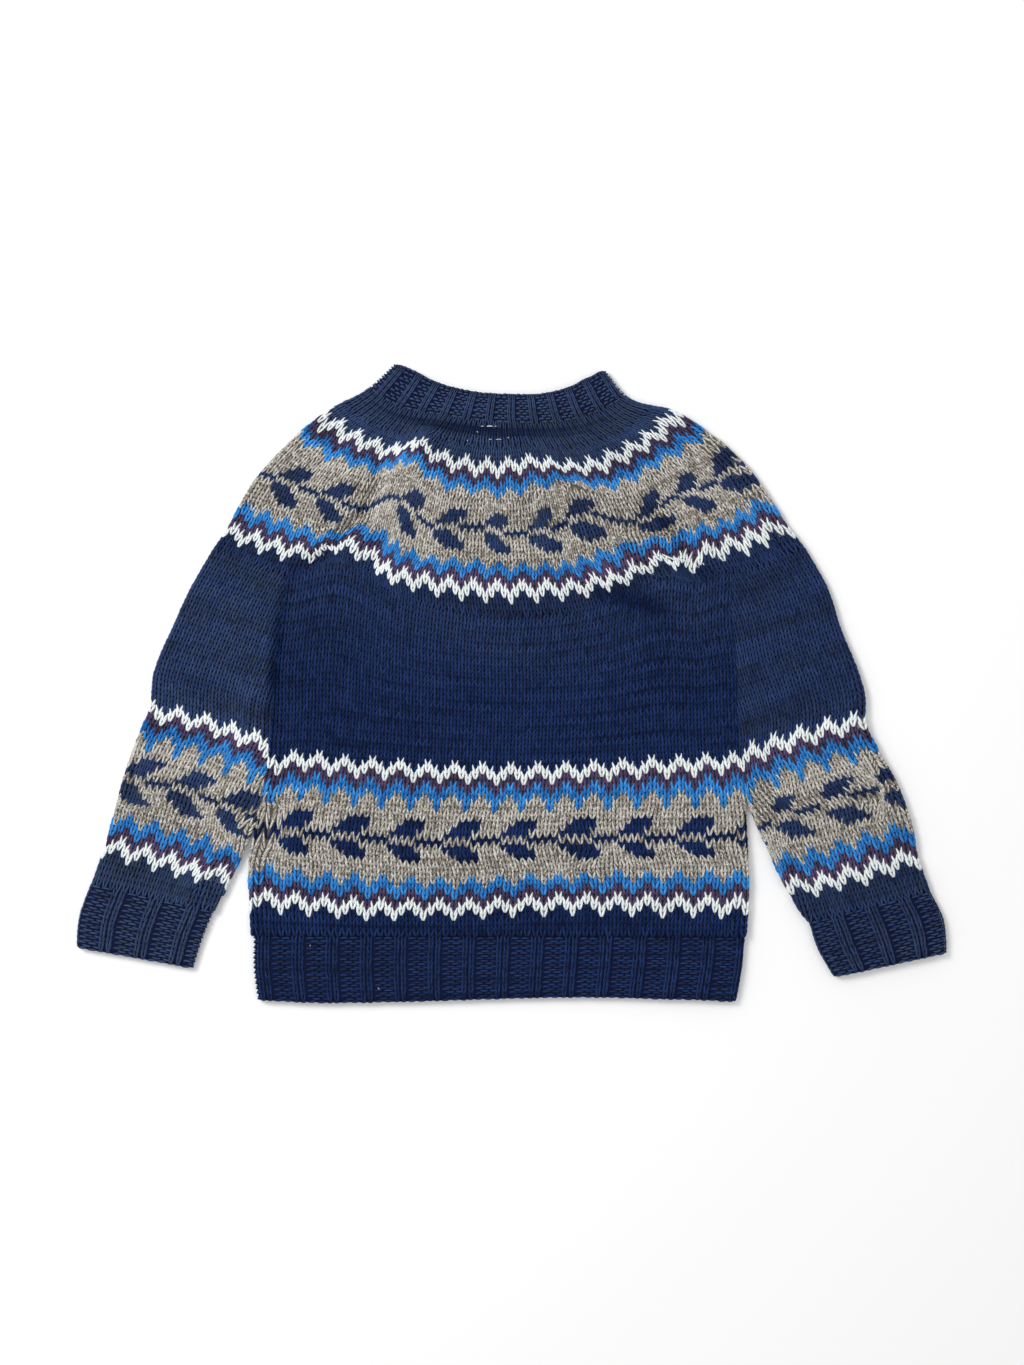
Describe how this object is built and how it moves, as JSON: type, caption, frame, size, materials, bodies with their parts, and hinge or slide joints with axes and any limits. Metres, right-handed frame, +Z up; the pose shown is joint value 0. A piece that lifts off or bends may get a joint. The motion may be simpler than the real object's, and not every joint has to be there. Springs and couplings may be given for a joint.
{
  "type": "fair isle jumper laid flat",
  "caption": "Round-yoke knitted jumper laid flat with its back up: ribbed neckband, hem and cuffs, long sleeves, patterned bands on yoke, body and sleeves.",
  "frame": {"origin": "on the floor under the middle of the laid-out jumper's outline", "axes": "+X to the right across the back (towards the right sleeve as worn), +Y from hem to neck, +Z up out of the upper side, which is the back"},
  "size_m": [0.9054, 0.6646, 0.0129],
  "materials": {
    "navy_wool": "thick hand-knitted woollen yarn, matt with a soft nap",
    "patterned_wool": "stranded colour knitting in navy, off-white, plum, blue and taupe tweed wool"
  },
  "bodies": {
    "root": {"hem_rib": "navy_wool", "body": "patterned_wool", "yoke": "patterned_wool", "neckband": "navy_wool", "sleeve_left": "patterned_wool", "sleeve_right": "patterned_wool", "cuff_left": "navy_wool", "cuff_right": "navy_wool"}
  },
  "joints": []
}
